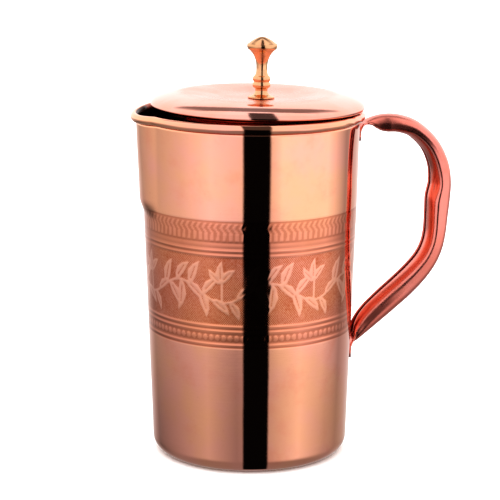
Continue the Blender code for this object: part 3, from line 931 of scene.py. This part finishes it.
# Near black painted shade on the inner side of the lip at the spout
LIP_SHADE_TONE = (0.030, 0.012, 0.010)
TOOLING_TURNS = 5230.0
SCRATCH_DEPTH = 0.000006
GRAIN_DEPTH = 0.000012
BODY_DENTS = 0.00002
EDGE_ROUGHNESS = 0.07
# Heights in metres over which the band and its ground begin and end
BAND_START = (0.0712, 0.0716)
BAND_END = (0.1416, 0.1412)
GROUND_START = (0.0843, 0.0848)
GROUND_END = (0.1221, 0.1216)


def copper_skin():
    made, nodes, shader, place = metal("polished_copper_body")
    flat, angle, height, _ = cylinder_place(nodes, place)
    edge = nodes.attribute("edge")
    tarnish = nodes.attribute("tarnish")
    zone_and_shade = nodes.attribute("zone_and_shade")

    in_band = nodes.math("MULTIPLY", nodes.step(height, *BAND_START), nodes.step(height, *BAND_END))
    outside = nodes.step(zone_and_shade, 0.75, 0.25)
    in_band = nodes.math("MULTIPLY", in_band, outside)
    field = nodes.math("MULTIPLY", nodes.step(height, *GROUND_START), nodes.step(height, *GROUND_END))
    field = nodes.math("MULTIPLY", field, outside)
    leaf = nodes.step(edge, -0.45, 0.50)

    cloud = nodes.noise(place, 22.0, 4.0, 0.55)
    patch = nodes.noise(place, 60.0, 5.0, 0.6)
    grit = nodes.noise(place, 900.0, 3.0, 0.7)
    speck = nodes.noise(place, 420.0, 3.0, 0.7)
    colour = nodes.mix(nodes.step(cloud, 0.38, 0.66), POLISHED, GOLDEN)
    colour = nodes.mix(nodes.math("MULTIPLY", nodes.step(patch, 0.48, 0.75), 0.35), colour, REDDER)

    # Turned lines left by polishing on a lathe
    rings = nodes.noise(nodes.stretched(flat, (6.0, 1500.0, 1.0)), 1.0, 4.0, 0.65)
    scratches = nodes.noise(nodes.stretched(flat, (35.0, 4200.0, 1.0)), 1.0, 2.0, 0.5)

    # Crossed tooling on the ground of the band
    around = nodes.math("MULTIPLY", angle, BAND_R * MM)
    climb = nodes.math("MULTIPLY", height, 0.85)
    weave_a = nodes.math("SINE", nodes.math("MULTIPLY", nodes.math("ADD", around, climb), TOOLING_TURNS))
    weave_b = nodes.math("SINE", nodes.math("MULTIPLY", nodes.math("SUBTRACT", around, climb), TOOLING_TURNS))
    weave = nodes.math("MULTIPLY", nodes.math("ADD", weave_a, 1.0), nodes.math("ADD", weave_b, 1.0))
    weave = nodes.math("MULTIPLY", nodes.math("MULTIPLY", weave, 0.25), nodes.step(patch, 0.25, 0.6))
    bare = nodes.math("SUBTRACT", 1.0, leaf)
    ground = nodes.math("MULTIPLY", field, bare)
    flanks = nodes.math("SUBTRACT", in_band, nodes.math("MULTIPLY", in_band, field))
    patchy = nodes.math("ADD", 0.70, nodes.math("MULTIPLY", patch, 0.5))
    hollow = nodes.math("MULTIPLY", tarnish, patchy, clamp=True)

    colour = nodes.mix(nodes.math("MULTIPLY", flanks, 0.55), colour, ETCHED)
    shade = nodes.math("ADD", 0.62, nodes.math("MULTIPLY", nodes.math("SUBTRACT", grit, 0.5), 0.9))
    shade = nodes.math("ADD", shade, nodes.math("MULTIPLY", weave, -0.95), clamp=True)
    shade = nodes.math("ADD", shade, 0.18, clamp=True)
    colour = nodes.mix(nodes.math("MULTIPLY", ground, shade), colour, ETCHED_DEEP)
    inlaid = nodes.math("MULTIPLY", nodes.math("MULTIPLY", field, leaf), nodes.step(grit, 0.70, 0.40))
    colour = nodes.mix(nodes.math("MULTIPLY", inlaid, 0.80), colour, LEAF_TONE)
    off_ground = nodes.math("MULTIPLY", hollow, nodes.math("SUBTRACT", 1.0, field))
    colour = nodes.mix(nodes.math("MULTIPLY", off_ground, 0.62), colour, OXIDE)
    colour = nodes.mix(nodes.math("MULTIPLY", nodes.step(speck, 0.66, 0.8), 0.25), colour, OXIDE)
    # Painted shade: dark inside the jug and on the inner side of the rim roll
    colour = nodes.mix(nodes.step(zone_and_shade, 0.6, 0.95), colour, INSIDE_SHADE_TONE)
    # Painted shade: near black on the inner side of the lip at the spout
    colour = nodes.mix(nodes.step(zone_and_shade, 1.15, 1.6), colour, LIP_SHADE_TONE)
    nodes.set(shader.inputs["Base Color"], colour)

    rough = nodes.between(nodes.step(cloud, 0.35, 0.7), 0.035, 0.06)
    rough = nodes.math("ADD", rough, nodes.math("MULTIPLY", nodes.step(patch, 0.55, 0.8), 0.02))
    rough = nodes.math("ADD", rough, nodes.math("MULTIPLY", hollow, 0.02))
    rough = nodes.math("ADD", rough, nodes.math("MULTIPLY", nodes.step(zone_and_shade, 0.6, 0.95), 0.25))
    nodes.set(shader.inputs["Roughness"], rough)

    fine = nodes.math("ADD", nodes.math("MULTIPLY", rings, 0.7), nodes.math("MULTIPLY", scratches, 0.3))
    normal = nodes.bump(fine, SCRATCH_DEPTH)
    tooling = nodes.math("MULTIPLY", nodes.math("MULTIPLY", weave, ground), 0.5)
    normal = nodes.bump(tooling, SCRATCH_DEPTH, normal)
    normal = nodes.bump(patch, BODY_DENTS, normal)
    nodes.set(shader.inputs["Normal"], normal)
    return made


def copper_plain(
    name, tint, rough_low, rough_high, centre_x=0.0, grain=900.0, dents=0.00004, along=False, edge=None
):
    """Rubbed metal with a fine grain: rings round centre_x, or lines along the piece; edge is smoother."""
    made, nodes, shader, place = metal(name)
    _, angle, height, radius = cylinder_place(nodes, place, centre_x)
    cloud = nodes.noise(place, 35.0, 4.0, 0.55)
    patch = nodes.noise(place, 110.0, 5.0, 0.6)
    speck = nodes.noise(place, 520.0, 3.0, 0.7)
    duller = tuple(c * k for c, k in zip(tint, (0.98, 0.9, 0.84)))
    colour = nodes.mix(nodes.step(cloud, 0.38, 0.66), tint, duller)
    colour = nodes.mix(nodes.math("MULTIPLY", nodes.step(patch, 0.52, 0.78), 0.3), colour, REDDER)
    colour = nodes.mix(nodes.math("MULTIPLY", nodes.step(speck, 0.68, 0.82), 0.3), colour, OXIDE)
    nodes.set(shader.inputs["Base Color"], colour)
    rough = nodes.between(nodes.step(cloud, 0.35, 0.7), rough_low, rough_high)
    rough = nodes.math("ADD", rough, nodes.math("MULTIPLY", speck, 0.04))
    if edge:
        rough = nodes.between(nodes.step(radius, *edge), rough, EDGE_ROUGHNESS)
    nodes.set(shader.inputs["Roughness"], rough)
    if along:
        lines = nodes.noise(nodes.stretched(place, (grain * 0.02, grain, grain * 0.02)), 1.0, 4.0, 0.6)
    else:
        joined = nodes.new("CombineXYZ")
        nodes.set(joined.inputs[0], nodes.math("MULTIPLY", angle, 0.4))
        nodes.set(joined.inputs[1], nodes.math("MULTIPLY", radius, grain))
        nodes.set(joined.inputs[2], nodes.math("MULTIPLY", height, grain))
        lines = nodes.noise(joined.outputs[0], 1.0, 4.0, 0.6)
    normal = nodes.bump(lines, GRAIN_DEPTH)
    normal = nodes.bump(patch, dents, normal)
    nodes.set(shader.inputs["Normal"], normal)
    return made


# ---------------------------------------------------------------- pieces on their bodies
def finish_piece(obj, body, material, slot, *nodes):
    obj.data.materials.clear()
    obj.data.materials.append(material)
    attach(obj, body)
    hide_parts(*nodes)


skin = copper_skin()
lid_copper = copper_plain("polished_copper_lid", (0.95, 0.50, 0.42), 0.24, 0.30, LID_X, edge=(0.040, 0.049))
# Handle tint: deeper red than the body's copper, a painted reflection of copper on copper in the fold
handle_copper = copper_plain(
    "rubbed_copper_handle_reflection_tint", (0.88, 0.32, 0.27), 0.20, 0.28, dents=0.00006, along=True
)
rivet_copper = copper_plain("rivet_copper", (0.88, 0.40, 0.29), 0.22, 0.34)
knob_brass = copper_plain("turned_brass", (0.80, 0.47, 0.27), 0.10, 0.16, LID_X, grain=2500.0)

seat = Vector((LID_X, 0.0, LID_Z))
lean = Matrix.Translation(seat) @ Matrix.Rotation(LID_LEAN, 4, "Y") @ Matrix.Translation(-seat)


def leaning(obj):
    obj.data.transform(lean)
    return obj


finish_piece(build_body(), "jug", skin, "jug_copper", "jug_body")
finish_piece(build_handle(), "jug", handle_copper, "handle_copper", "handle")
finish_piece(build_rivet("rivet_top", RIVET_ZS[0]), "jug", rivet_copper, "rivet_copper", "rivet_upper")
finish_piece(build_rivet("rivet_foot", RIVET_ZS[1]), "jug", rivet_copper, "rivet_copper", "rivet_lower")
finish_piece(leaning(build_lid()), "lid", lid_copper, "lid_copper", "lid_shell")
finish_piece(leaning(build_collar()), "lid", lid_copper, "lid_copper", "lid_collar")
finish_piece(leaning(build_knob()), "lid", knob_brass, "knob_brass", "lid_knob")
finish_piece(leaning(build_washer()), "lid", knob_brass, "knob_brass", "knob_washer")
finish_piece(leaning(build_screw()), "lid", knob_brass, "knob_brass", "knob_screw")

# ---------------------------------------------------------------- studio
scene = bpy.context.scene
scene.view_settings.view_transform = "Standard"
scene.view_settings.look = "High Contrast"


FLOOR_HALF = 6.0
FLOOR_Z = -0.0002
LAMP_SPREAD_DEG = 120
LAMP_ENERGY = 1.7
LAMP_Z = 3.0
CAMERA_DISTANCE = 1.1031
CAMERA_Z = 0.34985
CAMERA_PITCH = 0.21073
CAMERA_ROLL = 0.00369
CAMERA_LENS = 144.8


def studio_floor():
    sides = ((-1, -1), (1, -1), (1, 1), (-1, 1))
    corners = [(x * FLOOR_HALF, y * FLOOR_HALF, FLOOR_Z) for x, y in sides]
    floor = add_mesh("studio_floor", corners, [(0, 1, 2, 3)])
    made = bpy.data.materials.new("floor_white")
    made.use_nodes = True
    shader = made.node_tree.nodes["Principled BSDF"]
    shader.inputs["Base Color"].default_value = (0.92, 0.92, 0.92, 1)
    shader.inputs["Roughness"].default_value = 0.9
    shader.inputs["Specular IOR Level"].default_value = 0.1
    floor.data.materials.append(made)
    floor.visible_glossy = False
    return floor


# The light that the metal reflects. Panels: direction round from the front (-180 to 180 degrees), and
# brightness. RISE values are degrees above level, and TURN values degrees either way from the front.
PANELS_HIGH = (
    (-180, 0.85), (-138, 0.40), (-80, 0.64), (-42, 0.88), (-10, 0.74), (20, 0.64), (34, 0.98), (90, 0.96),
    (122, 0.34), (180, 0.85),
)
PANELS_LOW = (
    (-180, 0.45), (-135, 0.15), (-50, 0.48), (-15, 0.28), (25, 0.46), (60, 0.74), (100, 0.40),
    (125, 0.30), (180, 0.45),
)
LOW_RISE = (-21.5, -12.0)
ABOVE_RISE = (-6.5, -3.0)
FLOOR_RISE = (-50.0, -24.0)
OVERHEAD = 0.85
BACK_WALL = 0.95
BACK_WALL_TURN = (70.0, 110.0)
CEILING_GAP = 0.26
CEILING_GAP_RISE = (36.0, 41.0, 55.0, 59.0)
CEILING_GAP_TURN = (125.0, 160.0)
BELOW = 0.26
FRONT_GAP = 0.005
FRONT_GAP_ABOVE = 0.09
FRONT_GAP_RISE = (0.0, 14.0)
FRONT_GAP_SHIFT = 0.061
FRONT_GAP_HALF = 0.1246
FRONT_GAP_SOFT = 0.014
FRONT_GAP_END = (0.50, 0.64)


def grey(level):
    return (level, level, level)


def studio_world():
    """Neutral panels, with a dark gap in front and one in the ceiling behind, for reflections only."""
    world = bpy.data.worlds.new("studio")
    world.use_nodes = True
    scene.world = world
    nodes = Nodes(world.node_tree)
    backdrop = world.node_tree.nodes["Background"]
    split = nodes.new("SeparateXYZ")
    direction = nodes.new("TexCoord").outputs["Generated"]
    nodes.set(split.inputs[0], direction)
    azimuth = nodes.math("DEGREES", nodes.math("ARCTAN2", split.outputs[1], split.outputs[0]))
    turn = nodes.math("WRAP", nodes.math("SUBTRACT", azimuth, FACING_DEG), 180.0, -180.0)
    rise = nodes.math("DEGREES", nodes.math("ARCSINE", split.outputs[2]))
    place = nodes.math("ADD", nodes.math("DIVIDE", turn, 360.0), 0.5)
    high = nodes.ramp(place, [((a + 180) / 360, grey(v)) for a, v in PANELS_HIGH])
    low = nodes.ramp(place, [((a + 180) / 360, grey(v)) for a, v in PANELS_LOW])
    side = nodes.mix(nodes.step(rise, *LOW_RISE), low, high)
    either_way = nodes.math("ABSOLUTE", turn)
    above = nodes.mix(nodes.step(either_way, *BACK_WALL_TURN), grey(OVERHEAD), grey(BACK_WALL))
    foot, low_side, high_side, top = CEILING_GAP_RISE
    gap = nodes.math("MULTIPLY", nodes.step(rise, foot, low_side), nodes.step(rise, top, high_side))
    gap = nodes.math("MULTIPLY", gap, nodes.step(either_way, *CEILING_GAP_TURN))
    above = nodes.mix(gap, above, grey(CEILING_GAP))
    colour = nodes.mix(nodes.step(rise, *ABOVE_RISE), side, above)
    colour = nodes.mix(nodes.step(rise, *FLOOR_RISE), grey(BELOW), colour)
    # The front gap stays put in the world. Its sides are set by the half-way direction between it and a
    # level view from the front, so that its reflection keeps one width on curved beads as seen from there.
    facing = math.radians(FACING_DEG)
    ahead = nodes.math("ADD", nodes.dot(direction, (math.cos(facing), math.sin(facing), 0.0)), 1.0)
    aside = nodes.dot(direction, (-math.sin(facing), math.cos(facing), 0.0))
    off = nodes.math("SUBTRACT", nodes.math("DIVIDE", aside, ahead), FRONT_GAP_SHIFT)
    off = nodes.math("ABSOLUTE", off)
    gap = nodes.step(off, FRONT_GAP_HALF + FRONT_GAP_SOFT, FRONT_GAP_HALF - FRONT_GAP_SOFT)
    gap = nodes.math("MULTIPLY", gap, nodes.step(ahead, *FRONT_GAP_END))
    dark = nodes.mix(nodes.step(rise, *FRONT_GAP_RISE), grey(FRONT_GAP), grey(FRONT_GAP_ABOVE))
    colour = nodes.mix(gap, colour, dark)
    mirrored = nodes.new("LightPath").outputs["Is Glossy Ray"]
    nodes.set(backdrop.inputs["Color"], nodes.mix(mirrored, grey(1.0), colour))
    backdrop.inputs["Strength"].default_value = 1.0


def studio_light():
    lamp = bpy.data.lights.new("overhead_softbox", "SUN")
    lamp.angle = math.radians(LAMP_SPREAD_DEG)
    lamp.energy = LAMP_ENERGY
    holder = bpy.data.objects.new("overhead_softbox", lamp)
    holder.location = (0.0, 0.0, LAMP_Z)
    holder.visible_glossy = False
    scene.collection.objects.link(holder)


def camera_from(azimuth_deg, distance, height, pitch, roll, lens):
    """Camera at a horizontal distance round the object, pitched down and rolled by these angles."""
    facing = math.radians(azimuth_deg)
    place = Vector((distance * math.cos(facing), distance * math.sin(facing), height))
    level = math.cos(pitch)
    ahead = Vector((-math.cos(facing) * level, -math.sin(facing) * level, -math.sin(pitch)))
    right = Vector((-math.sin(facing), math.cos(facing), 0.0))
    up = right.cross(ahead)
    across = math.cos(roll) * right + math.sin(roll) * up
    upward = math.cos(roll) * up - math.sin(roll) * right
    data = bpy.data.cameras.new("product_view")
    data.lens = lens
    data.sensor_width = 36.0
    data.clip_end = 50.0
    holder = bpy.data.objects.new("product_view", data)
    scene.collection.objects.link(holder)
    turn = Matrix((across, upward, -ahead)).transposed().to_4x4()
    holder.matrix_world = Matrix.Translation(place) @ turn
    scene.camera = holder


studio_floor()
studio_world()
studio_light()
camera_from(FACING_DEG, CAMERA_DISTANCE, CAMERA_Z, CAMERA_PITCH, CAMERA_ROLL, CAMERA_LENS)
